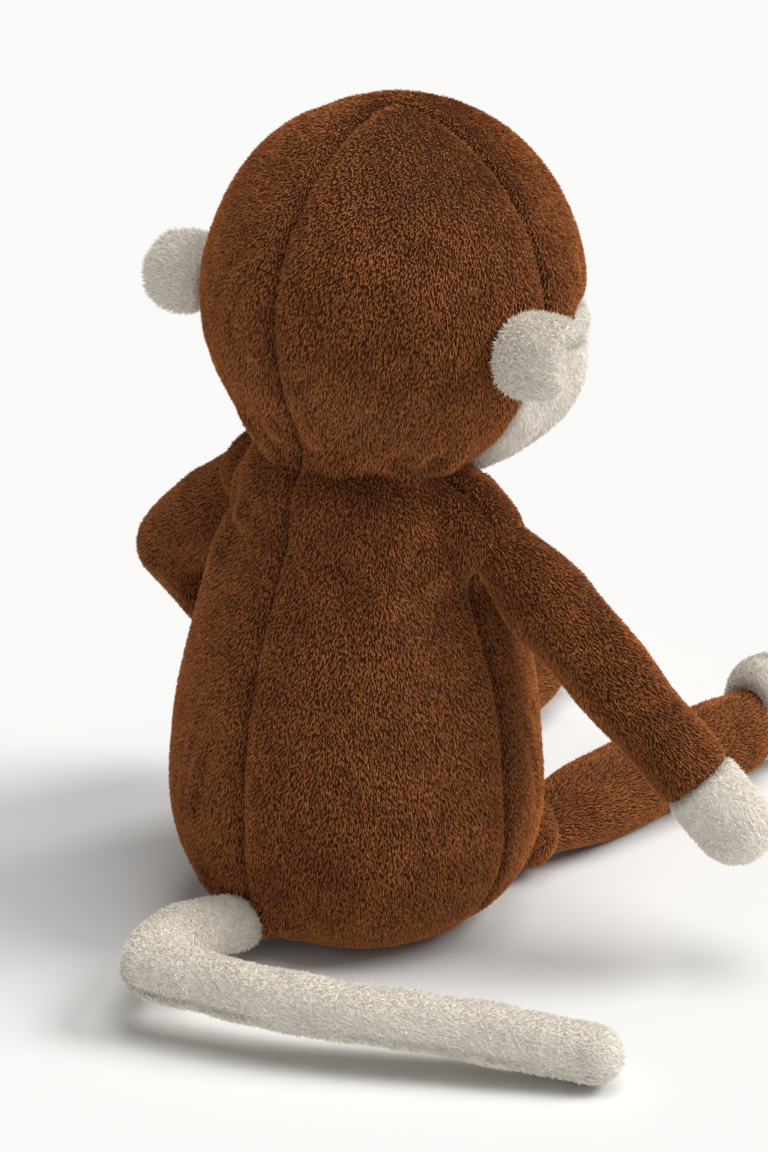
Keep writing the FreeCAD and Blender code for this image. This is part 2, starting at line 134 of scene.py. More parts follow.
def addNode(tree, kind, settings=None, inputs=None):
    node = tree.nodes.new(kind)
    for key, value in (settings or {}).items():
        setattr(node, key, value)
    for key, value in (inputs or {}).items():
        if isinstance(value, bpy.types.NodeSocket):
            tree.links.new(value, node.inputs[key])
        else:
            node.inputs[key].default_value = value
    return node


def colour(code):
    parts = [int(code[i:i + 2], 16) / 255 for i in (1, 3, 5)]
    return [c / 12.92 if c <= 0.04045 else ((c + 0.055) / 1.055) ** 2.4 for c in parts] + [1]


# materials

def plush(name, look):
    # sheared polyester plush: the roots are coloured dark as painted shade deep in the pile and the
    # tips light as a painted highlight where they catch the light, so the pile looks deep and
    # finely speckled, with a soft pale bloom along its edges
    material = bpy.data.materials.new(name)
    material.use_nodes = True
    tree = material.node_tree
    shader = tree.nodes["Principled BSDF"]
    place = addNode(tree, "ShaderNodeTexCoord").outputs["Object"]
    patches = addNode(tree, "ShaderNodeTexNoise", None, {
        "Vector": place, "Scale": 1 / look["patchSize"], "Detail": 3.0, "Roughness": 0.6})
    grain = addNode(tree, "ShaderNodeTexNoise", None, {
        "Vector": place, "Scale": 1 / look["grainSize"], "Detail": 2.0, "Roughness": 0.7})
    # colour along each tuft: the dark root colour is painted shade in the pile, the light tip
    # colour a painted highlight
    tip = addNode(tree, "ShaderNodeAttribute", {"attribute_name": "tip"})
    lit = addNode(tree, "ShaderNodeMath", {"operation": "POWER"}, {
        0: tip.outputs["Fac"], 1: look["tipStart"]})
    pile = addNode(tree, "ShaderNodeMix", {"data_type": "RGBA"}, {
        "Factor": lit.outputs["Value"], 6: colour(look["root"]), 7: colour(look["tip"])})
    speck = addNode(tree, "ShaderNodeMapRange", None, {
        "Value": grain.outputs["Fac"], "From Min": 0.35, "From Max": 0.65,
        "To Min": 1 - look["contrast"], "To Max": 1 + look["contrast"]})
    tuft = addNode(tree, "ShaderNodeAttribute", {"attribute_name": "tuftShade"})
    seam = addNode(tree, "ShaderNodeAttribute", {"attribute_name": "seamShade"})
    patch = addNode(tree, "ShaderNodeMapRange", None, {
        "Value": patches.outputs["Fac"], "From Min": 0.35, "From Max": 0.65,
        "To Min": -1.0, "To Max": 1.0})
    total = speck.outputs["Result"]
    # seamShade darkens the colour at the seams as painted shade; tuftShade and the patches vary the
    # tone at random
    for source, share in ((tuft.outputs["Fac"], look["tuftContrast"]),
                          (patch.outputs["Result"], look["patchContrast"]),
                          (seam.outputs["Fac"], -look["seamDark"])):
        step = addNode(tree, "ShaderNodeMath", {"operation": "MULTIPLY_ADD"}, {
            0: source, 1: share, 2: total})
        total = step.outputs["Value"]
    mixed = addNode(tree, "ShaderNodeVectorMath", {"operation": "SCALE"}, {
        0: pile.outputs[2], "Scale": total})
    tree.links.new(mixed.outputs["Vector"], shader.inputs["Base Color"])
    bump = addNode(tree, "ShaderNodeBump", None, {
        "Height": grain.outputs["Fac"], "Strength": 0.5, "Distance": look["grainSize"] * 0.12})
    tree.links.new(bump.outputs["Normal"], shader.inputs["Normal"])
    shader.inputs["Roughness"].default_value = 0.9
    shader.inputs["Specular IOR Level"].default_value = 0.2
    shader.inputs["Sheen Weight"].default_value = look["sheen"]
    shader.inputs["Sheen Roughness"].default_value = look["sheenRoughness"]
    shader.inputs["Sheen Tint"].default_value = colour(look["sheenTint"])
    return material


# root is painted shade deep in the pile, tip a painted highlight on the tufts' tips
brownLook = dict(root="#45200D", tip="#DC8A4E", tipStart=1.2, sheenTint="#FFB47A",
                 patchSize=0.012, grainSize=0.0012, contrast=0.2, tuftContrast=0.22,
                 patchContrast=0.16, seamDark=0.35, sheen=1.0, sheenRoughness=0.3)
creamLook = dict(root="#E6DFD3", tip="#FFFBF4", tipStart=1.0, sheenTint="#FFFFFF",
                 patchSize=0.012, grainSize=0.0012, contrast=0.06, tuftContrast=0.05,
                 patchContrast=0.03, seamDark=0.3, sheen=0.15, sheenRoughness=0.4)
brownPlush = plush("brownShearedPlush", brownLook)
creamPlush = plush("creamShearedPlush", creamLook)


def fibreFill():
    # crimped polyester fibre, white and loose, with small soft clumps
    material = bpy.data.materials.new("polyesterFibreFill")
    material.use_nodes = True
    tree = material.node_tree
    shader = tree.nodes["Principled BSDF"]
    clumps = addNode(tree, "ShaderNodeTexNoise", None, {
        "Vector": addNode(tree, "ShaderNodeTexCoord").outputs["Object"], "Scale": 160.0,
        "Detail": 6.0, "Distortion": 1.5})
    ramp = addNode(tree, "ShaderNodeValToRGB", None, {"Fac": clumps.outputs["Fac"]})
    ramp.color_ramp.elements[0].color = colour("#D9D7D2")
    ramp.color_ramp.elements[1].color = colour("#FBFAF7")
    tree.links.new(ramp.outputs["Color"], shader.inputs["Base Color"])
    bump = addNode(tree, "ShaderNodeBump", None, {"Height": clumps.outputs["Fac"],
                                                  "Distance": 0.001})
    tree.links.new(bump.outputs["Normal"], shader.inputs["Normal"])
    shader.inputs["Roughness"].default_value = 1.0
    return material


def mouldedPlastic(name, look):
    # injection-moulded plastic: gloss with fine handling marks
    material = bpy.data.materials.new(name)
    material.use_nodes = True
    tree = material.node_tree
    shader = tree.nodes["Principled BSDF"]
    marks = addNode(tree, "ShaderNodeTexNoise", None, {
        "Vector": addNode(tree, "ShaderNodeTexCoord").outputs["Object"], "Scale": 900.0,
        "Detail": 4.0})
    tone = addNode(tree, "ShaderNodeValToRGB", None, {"Fac": marks.outputs["Fac"]})
    tone.color_ramp.elements[0].color = colour(look["low"])
    tone.color_ramp.elements[1].color = colour(look["high"])
    tree.links.new(tone.outputs["Color"], shader.inputs["Base Color"])
    worn = addNode(tree, "ShaderNodeMapRange", None, {
        "Value": marks.outputs["Fac"], "To Min": look["gloss"], "To Max": look["gloss"] + 0.12})
    tree.links.new(worn.outputs["Result"], shader.inputs["Roughness"])
    shader.inputs["IOR"].default_value = 1.5
    return material


def satinThread(name, look):
    # rayon embroidery floss: the colour runs from darker to lighter brown across each twisted
    # strand, the lighter band a painted highlight; the roughness gives a soft real gloss
    material = bpy.data.materials.new(name)
    material.use_nodes = True
    tree = material.node_tree
    shader = tree.nodes["Principled BSDF"]
    twist = addNode(tree, "ShaderNodeTexWave", {"bands_direction": "DIAGONAL"}, {
        "Vector": addNode(tree, "ShaderNodeTexCoord").outputs["Object"],
        "Scale": 1 / look["strand"], "Distortion": 1.0})
    # the high colour of the twist bands is a painted highlight along each strand
    tone = addNode(tree, "ShaderNodeValToRGB", None, {"Fac": twist.outputs["Fac"]})
    tone.color_ramp.elements[0].color = colour(look["low"])
    tone.color_ramp.elements[1].color = colour(look["high"])
    tree.links.new(tone.outputs["Color"], shader.inputs["Base Color"])
    bump = addNode(tree, "ShaderNodeBump", None, {"Height": twist.outputs["Fac"],
                                                  "Distance": 0.0001})
    tree.links.new(bump.outputs["Normal"], shader.inputs["Normal"])
    shader.inputs["Roughness"].default_value = 0.45
    return material


fill = fibreFill()
eyeGloss = mouldedPlastic("blackSafetyEye", dict(low="#0B0807", high="#15100D", gloss=0.06))
washerPlastic = mouldedPlastic("whiteEyeWasher", dict(low="#DCDBD6", high="#EAE9E5", gloss=0.35))
floss = satinThread("brownFloss", dict(low="#4A2812", high="#7A4724", strand=0.0006))
print("plush materials ready")


# soft forms: a filled shape, inflated between its seams, then sewn down along them

def ballAt(centre, radii, segments=32):
    bpy.ops.mesh.primitive_uv_sphere_add(segments=segments, ring_count=segments // 2, radius=1,
                                         location=centre)
    ball = bpy.context.object
    ball.scale = radii
    return ball


def filledForm(name, sources, plugs, spec):
    parts = []
    for source in sources:
        copy = bpy.data.objects.new(source + "Copy", nodes[source].data.copy())
        scene.collection.objects.link(copy)
        copy.data.materials.clear()
        parts.append(copy)
    parts += [ballAt(centre, radii) for centre, radii in plugs]
    form = joined(name, parts)
    modified(form, "REMESH", mode="VOXEL", voxel_size=spec["voxel"], adaptivity=0)
    modified(form, "SMOOTH", factor=0.5, iterations=spec["smoothing"])
    return form


def seamGap(spots, seams):
    nearest = np.full(len(spots), 1.0)
    for seam in seams:
        away = spots - np.array(seam["at"])
        gap = np.abs(away @ np.array(seam["across"]))
        for limitAt, limitWay in seam.get("within", []):
            outside = np.clip(-(spots - np.array(limitAt)) @ np.array(limitWay), 0, None)
            gap = np.hypot(gap, outside)
        nearest = np.minimum(nearest, gap)
    return nearest


airSpec = dict(frames=20, quality=5, pinned=1.2, fullest=95, settling=2)


def inflated(form, seams, spec):
    # cloth with air in it: pinned along the seams, so that the panels crown between them
    start, normals = readSpots(form), readNormals(form)
    held = form.vertex_groups.new(name="held")
    gaps = seamGap(start, seams)
    for index, gap in enumerate(gaps):
        held.add([index], float(np.clip(airSpec["pinned"] - gap / spec["voxel"], 0, 1)), "REPLACE")
    pick(form)
    cloth = form.modifiers.new("Cloth", "CLOTH")
    cloth.settings.vertex_group_mass = "held"
    cloth.settings.use_pressure = True
    cloth.settings.uniform_pressure_force = spec["pressure"]
    cloth.settings.effector_weights.gravity = 0
    cloth.settings.quality = airSpec["quality"]
    cloth.collision_settings.use_collision = False
    for number in range(1, airSpec["frames"] + 1):
        scene.frame_set(number)
    shaped = form.evaluated_get(bpy.context.evaluated_depsgraph_get())
    swollen = np.zeros(len(start) * 3)
    shaped.data.vertices.foreach_get("co", swollen)
    form.modifiers.remove(cloth)
    form.vertex_groups.clear()
    scene.frame_set(1)
    rise = ((swollen.reshape(-1, 3) - start) * normals).sum(1)
    fullest = np.percentile(rise, airSpec["fullest"])
    rise = np.clip(rise, 0, fullest) / max(fullest, 1e-6)
    rise = (rise - rise.mean()) * spec["swell"]
    writeSpots(form, start + normals * rise[:, None])
    modified(form, "SMOOTH", factor=0.5, iterations=airSpec["settling"])


def lumpy(form, spec):
    spots, normals = readSpots(form), readNormals(form)
    rise = np.array([noise.noise(Vector(spot) / spec["lumpSize"]) for spot in spots])
    writeSpots(form, spots + normals * (rise * spec["lumps"] + spec["outward"])[:, None])


def loopsAt(form, at, across, offsets):
    edit(form)
    for offset in offsets:
        bpy.ops.mesh.select_all(action="SELECT")
        bpy.ops.mesh.bisect(plane_co=Vector(at) + Vector(across) * offset, plane_no=across)
    leaveEdit()


seamLook = dict(loops=(-0.0035, -0.0014, 0, 0.0014, 0.0035), stitchHalf=0.0012, pullHalf=0.004,
                shadeHalf=0.0016)


def sewn(form, seams, spec):
    # a narrow channel at the stitches, in a wider and shallower one where they pull the plush in
    for seam in seams:
        loopsAt(form, seam["at"], seam["across"], seamLook["loops"])
    spots, normals = readSpots(form), readNormals(form)
    gap = seamGap(spots, seams)
    sink = spec["groove"] * (0.75 * np.exp(-(gap / seamLook["stitchHalf"]) ** 2)
                             + 0.25 * np.exp(-(gap / seamLook["pullHalf"]) ** 2))
    # seamShade darkens the colour along the seam: painted shade in the channel
    storeOn(form, "seamShade", np.exp(-(gap / seamLook["shadeHalf"]) ** 2))
    return spots - normals * sink[:, None]


def closedOff(piece):
    # the open edge is drawn in to one point inside and merged there, so the piece is closed
    before = len(piece.data.polygons)
    edit(piece)
    bpy.ops.mesh.select_mode(type="EDGE")
    bpy.ops.mesh.select_all(action="DESELECT")
    bpy.ops.mesh.select_non_manifold(extend=False, use_wire=False, use_boundary=True,
                                     use_multi_face=False, use_non_contiguous=False,
                                     use_verts=False)
    bpy.ops.mesh.extrude_region_move()
    bpy.ops.mesh.merge(type="CENTER")
    bpy.ops.mesh.select_all(action="SELECT")
    bpy.ops.mesh.normals_make_consistent(inside=False)
    leaveEdit()
    room = np.ones(len(piece.data.polygons))
    room[before:] = 0
    storeOn(piece, "pileRoom", room, domain="FACE")
    return piece


def takenOff(form, name, chosen):
    # the chosen faces leave the form as a piece of their own
    edit(form)
    bpy.ops.mesh.select_mode(type="FACE")
    bpy.ops.mesh.select_all(action="DESELECT")
    leaveEdit()
    form.data.polygons.foreach_set("select", chosen)
    edit(form)
    bpy.ops.mesh.separate(type="SELECTED")
    leaveEdit()
    piece = [o for o in bpy.context.selected_objects if o != form][0]
    piece.name = piece.data.name = name
    return closedOff(form), closedOff(piece)


stripLook = dict(below=0.9, toneHalf=0.45, toneMiddle=0.5, sideStep=0.02, root=0.92, tipStep=0.07)


def bakeMap(piece):
    piece.data.uv_layers.new(name="OFBake")
    edit(piece)
    bpy.ops.mesh.select_all(action="SELECT")
    bpy.ops.uv.smart_project(angle_limit=1.15, island_margin=0.004)
    leaveEdit()
    layer = piece.data.uv_layers["OFBake"]
    places = np.zeros(len(layer.uv) * 2, np.float32)
    layer.uv.foreach_get("vector", places)
    places[1::2] *= stripLook["below"]  # the top strip of the map is kept for the tufts
    layer.uv.foreach_set("vector", places)


# pile: one tuft is modelled and scattered over a cover, each copy leaning along the nap

def modelTuft(name, look, material):
    bpy.ops.mesh.primitive_cone_add(vertices=3, radius1=look["width"] / 2, depth=look["length"],
                                    location=(0, 0, look["length"] * 0.35))
    tuft = bpy.context.object
    tuft.name = tuft.data.name = name
    bpy.ops.object.transform_apply(location=True, rotation=True, scale=True)
    spots = readSpots(tuft)
    storeOn(tuft, "tip", (spots[:, 2] > 0).astype(float))
    storeOn(tuft, "side", np.sign(spots[:, 0]) * (spots[:, 2] < 0))
    tuft.data.materials.append(material)
    tuft.hide_render = True
    return tuft


def covered(piece, tuft, look, nap, seed, bare=()):
    # nap gives the way the pile lies; bare is a list of (centre, radius) that stay clear
    bakeMap(piece)
    spots, normals = readSpots(piece), readNormals(piece)
    flow = nap(spots)
    flow -= normals * (flow * normals).sum(1)[:, None]
    flow /= np.maximum(np.linalg.norm(flow, axis=1), 1e-6)[:, None]
    storeOn(piece, "nap", flow, "FLOAT_VECTOR")
    middles = faceMiddles(piece)
    room = np.ones(len(middles))
    layer = piece.data.attributes.get("pileRoom")
    if layer:
        layer.data.foreach_get("value", room)
    room[middles[:, 2] < look["length"]] = 0
    for centre, radius in bare:
        room[np.linalg.norm(middles - np.array(centre), axis=1) < radius] = 0
    storeOn(piece, "pileRoom", room, domain="FACE")
    # the bare cover between the tufts takes the dark root colour: painted shade under the pile
    piece.data.materials.clear()
    piece.data.materials.append(tuft.data.materials[0])
    for polygon in piece.data.polygons:
        polygon.use_smooth = True

    tree = bpy.data.node_groups.new(piece.name + "Pile", "GeometryNodeTree")
    tree.interface.new_socket("Geometry", in_out="INPUT", socket_type="NodeSocketGeometry")
    tree.interface.new_socket("Geometry", in_out="OUTPUT", socket_type="NodeSocketGeometry")
    entry = addNode(tree, "NodeGroupInput").outputs["Geometry"]
    space = addNode(tree, "GeometryNodeInputNamedAttribute", {"data_type": "FLOAT"},
                    {"Name": "pileRoom"}).outputs["Attribute"]
    lie = addNode(tree, "GeometryNodeInputNamedAttribute", {"data_type": "FLOAT_VECTOR"},
                  {"Name": "nap"}).outputs["Attribute"]
    count = addNode(tree, "ShaderNodeMath", {"operation": "MULTIPLY"},
                    {0: space, 1: look["perSquareMm"] * 1e6})
    scatter = addNode(tree, "GeometryNodeDistributePointsOnFaces", None, {
        "Mesh": entry, "Density": count.outputs["Value"], "Seed": seed})
    wander = addNode(tree, "FunctionNodeRandomValue", {"data_type": "FLOAT_VECTOR"}, {
        "Min": (-look["wander"],) * 3, "Max": (look["wander"],) * 3, "Seed": seed + 1})
    leaning = addNode(tree, "ShaderNodeVectorMath", {"operation": "SCALE"},
                      {0: lie, "Scale": look["lean"]})
    total = scatter.outputs["Normal"]
    for extra in (leaning.outputs["Vector"], wander.outputs["Value"]):
        total = addNode(tree, "ShaderNodeVectorMath", {"operation": "ADD"},
                        {0: total, 1: extra}).outputs["Vector"]
    spin = addNode(tree, "FunctionNodeRandomValue", {"data_type": "FLOAT_VECTOR"}, {
        "Min": (0, 0, 0), "Max": (0, 0, 6.28), "Seed": seed + 2})
    aim = addNode(tree, "FunctionNodeAlignRotationToVector", {"axis": "Z"}, {
        "Rotation": spin.outputs["Value"], "Vector": total})
    grown = addNode(tree, "FunctionNodeRandomValue", {"data_type": "FLOAT"}, {
        2: look["shortest"], 3: look["longest"], "Seed": seed + 3})
    source = addNode(tree, "GeometryNodeObjectInfo", None, {"Object": tuft})
    planted = addNode(tree, "GeometryNodeInstanceOnPoints", None, {
        "Points": scatter.outputs["Points"], "Instance": source.outputs["Geometry"],
        "Rotation": aim.outputs["Rotation"], "Scale": grown.outputs[1]})
    toneValue = addNode(tree, "FunctionNodeRandomValue", {"data_type": "FLOAT"}, {
        2: -1.0, 3: 1.0, "Seed": seed + 4})
    toned = addNode(tree, "GeometryNodeStoreNamedAttribute",
                    {"data_type": "FLOAT", "domain": "INSTANCE"},
                    {"Geometry": planted.outputs["Instances"], "Name": "tuftShade",
                     "Value": toneValue.outputs[1]})
    real = addNode(tree, "GeometryNodeRealizeInstances", None,
                   {"Geometry": toned.outputs["Geometry"]})
    read = {name: addNode(tree, "GeometryNodeInputNamedAttribute", {"data_type": "FLOAT"},
                          {"Name": name}).outputs["Attribute"]
            for name in ("tuftShade", "side", "tip")}
    across = addNode(tree, "ShaderNodeMath", {"operation": "MULTIPLY_ADD"},
                     {0: read["tuftShade"], 1: stripLook["toneHalf"],
                      2: stripLook["toneMiddle"]})
    across = addNode(tree, "ShaderNodeMath", {"operation": "MULTIPLY_ADD"},
                     {0: read["side"], 1: stripLook["sideStep"], 2: across.outputs["Value"]})
    upward = addNode(tree, "ShaderNodeMath", {"operation": "MULTIPLY_ADD"},
                     {0: read["tip"], 1: stripLook["tipStep"], 2: stripLook["root"]})
    strip = addNode(tree, "ShaderNodeCombineXYZ", None,
                    {"X": across.outputs["Value"], "Y": upward.outputs["Value"]})
    mapped = addNode(tree, "GeometryNodeStoreNamedAttribute",
                     {"data_type": "FLOAT2", "domain": "CORNER"},
                     {"Geometry": real.outputs["Geometry"], "Name": "OFBake",
                      "Value": strip.outputs["Vector"]})
    both = tree.nodes.new("GeometryNodeJoinGeometry")
    tree.links.new(mapped.outputs["Geometry"], both.inputs["Geometry"])
    tree.links.new(entry, both.inputs["Geometry"])
    way = tree.nodes.new("NodeGroupOutput")
    tree.links.new(both.outputs["Geometry"], way.inputs["Geometry"])
    modified(piece, "NODES", node_group=tree)
    bpy.data.node_groups.remove(tree)
    return piece


brownTuftLook = dict(width=0.0006, length=0.0014, perSquareMm=2.3, lean=1.3, wander=0.5,
                     shortest=0.7, longest=1.25)
creamTuftLook = dict(width=0.0006, length=0.0015, perSquareMm=2.2, lean=1.2, wander=0.7,
                     shortest=0.7, longest=1.25)
earTuftLook = dict(width=0.0006, length=0.0021, perSquareMm=2.4, lean=0.9, wander=0.8,
                   shortest=0.7, longest=1.25)
brownTuft = modelTuft("brownTuft", brownTuftLook, brownPlush)
creamTuft = modelTuft("creamTuft", creamTuftLook, creamPlush)
earTuft = modelTuft("earTuft", earTuftLook, creamPlush)


def along(way):
    return lambda spots: np.tile(np.array(way, float), (len(spots), 1))


def offFloor(piece, clear=0.0004):
    spots = readSpots(piece)
    spots[:, 2] = np.maximum(spots[:, 2], clear)
    writeSpots(piece, spots)


def kept(piece, body, slotName, fill, *replaced):
    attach(piece, body)
    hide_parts(*replaced)


# torso: a pear, two back panels and a belly, sewn to a round seat

torsoSpec = dict(voxel=0.0032, smoothing=8, swell=0.0035, pressure=4, lumpSize=0.035,
                 lumps=0.0012, outward=0.0012, groove=0.0022)
shoulders = {"left": (0.047, -0.006, 0.134), "right": (-0.047, -0.006, 0.134)}
hips = {"left": (0.031, -0.048, 0.0145), "right": (-0.031, -0.048, 0.0145)}
torsoPlugs = [((0, 0, 0.017), (0.038, 0.038, 0.014)), ((0, -0.001, 0.140), (0.0362, 0.0362, 0.028)),
              ((0.005, 0.050, 0.0125), (0.0095,) * 3)]
torsoPlugs += [((x * 0.93, y, z), (0.0125,) * 3) for x, y, z in shoulders.values()]
torsoPlugs += [((x * 0.80, y, z + 0.006), (0.0120,) * 3) for x, y, z in shoulders.values()]
torsoPlugs += [((x, y * 0.98, z), (0.0115,) * 3) for x, y, z in hips.values()]
torsoSeams = [dict(at=(0, 0, 0), across=(1, 0, 0), within=[((0, 0, 0), (0, 1, 0))]),
              dict(at=(0, 0, 0), across=(0, 1, 0))]
torso = filledForm("torsoCover", ["body_stuffing"], torsoPlugs, torsoSpec)
inflated(torso, torsoSeams, torsoSpec)
modified(torso, "SUBSURF", levels=1, render_levels=1)
lumpy(torso, torsoSpec)
writeSpots(torso, sewn(torso, torsoSeams, torsoSpec))
offFloor(torso)
covered(torso, brownTuft, brownTuftLook, along((0, 0, -1)), 11)
kept(torso, "torso", "brown_plush", 0.85, "body_back_left", "body_back_right",
     "body_belly_panel", "seat_gusset", "body_stuffing", "pellet_bag")
print("torso:", len(torso.data.polygons), "faces")


# head: skull in three brown panels and a cream muzzle below a seam that slopes down the jaw

headSpec = dict(voxel=0.0032, smoothing=8, swell=0.0035, pressure=4, lumpSize=0.04,
                lumps=0.0012, outward=0.0012, groove=0.0022)
headMiddle = np.array((0, -0.017, 0.201))
jawCorner = np.array((0, -0.039, 0.199))
jawSlope = math.radians(47)
jawWay = (0, math.cos(jawSlope), math.sin(jawSlope))
jawBack = np.array((0, -0.015, 0.1766))
headPlugs = [((0, 0, 0.150), (0.030, 0.030, 0.026))]
headSeams = [dict(at=(0, 0, 0), across=(1, 0, 0), within=[(headMiddle, (0, 1, 0))]),
             dict(at=headMiddle, across=(0, 1, 0), within=[(jawCorner, jawWay)]),
             dict(at=jawCorner, across=(0, 0, 1), within=[(jawCorner, (0, -1, 0))]),
             dict(at=jawCorner, across=jawWay,
                  within=[(jawCorner, (0, 1, 0)), (jawBack, (0, -1, 0))]),
             dict(at=jawBack, across=(0, 1, 0), within=[(jawBack, (0, 0, -1))])]
eyeSpots = [(0.017, -0.0735, 0.210), (-0.017, -0.0735, 0.210)]
head = filledForm("headCover", ["head_stuffing"], headPlugs + [
    ((x * 0.95, y * 0.85, z), (0.009,) * 3) for x, y, z in eyeSpots], headSpec)
inflated(head, headSeams, headSpec)
modified(head, "SUBSURF", levels=1, render_levels=1)
lumpy(head, headSpec)
headSpots = sewn(head, headSeams, headSpec)
middles = faceMiddles(head) - jawCorner
isMuzzle = (middles[:, 2] < 0) & (middles @ np.array(jawWay) < 0)
isMuzzle &= middles[:, 1] < jawBack[1] - jawCorner[1]
writeSpots(head, headSpots)
head, muzzle = takenOff(head, "muzzleCover", isMuzzle)


def headNap(spots):
    return np.tile(np.array((0, 0.35, -1.0)), (len(spots), 1))


covered(head, brownTuft, brownTuftLook, headNap, 23,
        [(spot, 0.0062) for spot in eyeSpots])
covered(muzzle, creamTuft, creamTuftLook, along((0, 0, -1)), 31, [((0, -0.0785, 0.189), 0.0062)])
kept(head, "head", "brown_plush", 0.9, "head_back_left", "head_back_right", "brow_panel",
     "head_stuffing")
kept(muzzle, "head", "cream_plush", 0.85, "muzzle_panel")
print("head:", len(head.data.polygons), "faces")


# neck: a wad of fill that joins torso and head inside the covers

wadSpec = dict(voxel=0.002, smoothing=10, lumpSize=0.009, lumps=0.0016, outward=-0.002)
wad = filledForm("neckWad", ["neck_stuffing"], [], wadSpec)
lumpy(wad, wadSpec)
wad.data.materials.append(fill)
kept(wad, "neck", "polyester_fill", 0.9, "neck_stuffing")


# ears: two layers of cream plush in a cup, open forwards and down, with a longer pile

earSpec = dict(voxel=0.0011, smoothing=4, lumpSize=0.008, lumps=0.0006, outward=0.0)
earShape = dict(middle=(0.0675, -0.0015, 0.1965), ring=0.0088, thick=0.0043, reach=0.0112,
                first=-40, last=138, balls=13)
for side, way in (("left", 1), ("right", -1)):
    x, y, z = earShape["middle"]
    plugs = [((way * (x - 0.007), y, z), (0.004, 0.009, 0.009))]
    for number in range(earShape["balls"]):
        share = number / (earShape["balls"] - 1)
        angle = math.radians(earShape["first"] + share * (earShape["last"] - earShape["first"]))
        thick = earShape["thick"] * (1.12 - 0.22 * share)
        plugs.append(((way * x, y + math.cos(angle) * earShape["ring"],
                       z + math.sin(angle) * earShape["ring"]),
                      (earShape["reach"] * (1 - 0.12 * share), thick, thick)))
    ear = filledForm(side + "Ear", [], plugs, earSpec)
    lumpy(ear, earSpec)
    storeOn(ear, "seamShade", np.zeros(len(ear.data.vertices)))
    covered(ear, earTuft, earTuftLook, along((way, 0.2, 0.1)), 51 + way)
    kept(ear, "head", "cream_plush", 0.5, side + "_ear_back", side + "_ear_front")
print("ears done")


# arms: a brown sleeve from shoulder to wrist and a cream hand

armSpec = dict(voxel=0.0024, smoothing=6, swell=0.0015, pressure=3, lumpSize=0.02, lumps=0.001,
               outward=0.0012, groove=0.002)
armShape = dict(upper=0.054, fore=0.043, elbow=0.0122, elbowBack=0.008, seamBack=0.02,
                handReach=0.05)
armWays = {"left": ((0.7295, -0.1418, -0.6691), (-0.1045, -0.5927, -0.7986)),
           "right": ((-0.6448, -0.2220, -0.7314), (-0.6448, -0.2220, -0.7314))}
for side in ("left", "right"):
    upperWay, foreWay = (Vector(way) for way in armWays[side])
    elbow = Vector(shoulders[side]) + upperWay * armShape["upper"]
    wrist = elbow + foreWay * armShape["fore"]
    plugs = [(spot, (armShape["elbow"],) * 3)
             for spot in (elbow, elbow - upperWay * armShape["elbowBack"])]
    seams = [dict(at=wrist, across=foreWay,
                  within=[(wrist - foreWay * armShape["seamBack"], foreWay)])]
    arm = filledForm(side + "Sleeve", [side + "_upper_arm_stuffing", side + "_forearm_stuffing"],
                     plugs, armSpec)
    inflated(arm, seams, armSpec)
    modified(arm, "SUBSURF", levels=1, render_levels=1)
    lumpy(arm, armSpec)
    armSpots = sewn(arm, seams, armSpec)
    beyond = (faceMiddles(arm) - np.array(wrist)) @ np.array(foreWay) > 0
    near = np.linalg.norm(faceMiddles(arm) - np.array(wrist), axis=1) < armShape["handReach"]
    writeSpots(arm, armSpots)
    arm, hand = takenOff(arm, side + "Hand", beyond & near)
    elbowSpot = np.array(elbow)

    def sleeveNap(spots, elbowSpot=elbowSpot, foreWay=foreWay, upperWay=upperWay):
        past = np.clip(((spots - elbowSpot) @ np.array(foreWay)) / 0.012, 0, 1)[:, None]
        return np.array(upperWay) * (1 - past) + np.array(foreWay) * past

    covered(arm, brownTuft, brownTuftLook, sleeveNap, 61 if side == "left" else 67)
    covered(hand, creamTuft, creamTuftLook, along(foreWay), 71 if side == "left" else 77)
    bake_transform(arm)
    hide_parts(side + "_upper_sleeve", side + "_lower_sleeve", side + "_upper_arm_stuffing")
    kept(hand, side + "_forearm", "cream_plush", 0.8, side + "_hand", side + "_forearm_stuffing")
    print(side, "arm:", len(arm.data.polygons), "faces")


# legs: straight on the floor, with cream feet that stand up

legSpec = dict(voxel=0.0024, smoothing=6, swell=0.0015, pressure=3, lumpSize=0.02, lumps=0.001,
               outward=0.0012, groove=0.002)
legShape = dict(ankle=0.112, sole=0.1245, aside=0.1219, ahead=0.9925)
for side, way in (("left", 1), ("right", -1)):
    hip = Vector(hips[side])
    legWay = Vector((way * legShape["aside"], -legShape["ahead"], 0))
    ankle = hip + legWay * legShape["ankle"]
    soleAt = hip + legWay * legShape["sole"]
    seams = [dict(at=ankle, across=legWay), dict(at=soleAt, across=legWay)]
    leg = filledForm(side + "Leg", [side + "_leg_stuffing"], [], legSpec)
    inflated(leg, seams, legSpec)
    modified(leg, "SUBSURF", levels=1, render_levels=1)
    lumpy(leg, legSpec)
    legSpots = sewn(leg, seams, legSpec)
    beyond = (faceMiddles(leg) - np.array(ankle)) @ np.array(legWay) > 0
    writeSpots(leg, legSpots)
    leg, foot = takenOff(leg, side + "Foot", beyond)
    for piece in (leg, foot):
        offFloor(piece)
    covered(leg, brownTuft, brownTuftLook, along(legWay), 81 if side == "left" else 83)
    covered(foot, creamTuft, creamTuftLook, along((0, 0, 1)), 87 if side == "left" else 89)
    kept(leg, side + "_leg", "brown_plush", 0.8, side + "_leg_sleeve", side + "_leg_stuffing")
    kept(foot, side + "_leg", "cream_plush", 0.8, side + "_foot", side + "_sole")
    print(side, "leg:", len(leg.data.polygons), "faces")


# tail: one cream tube out of the back, folded in the air and laid across with its tip on the floor

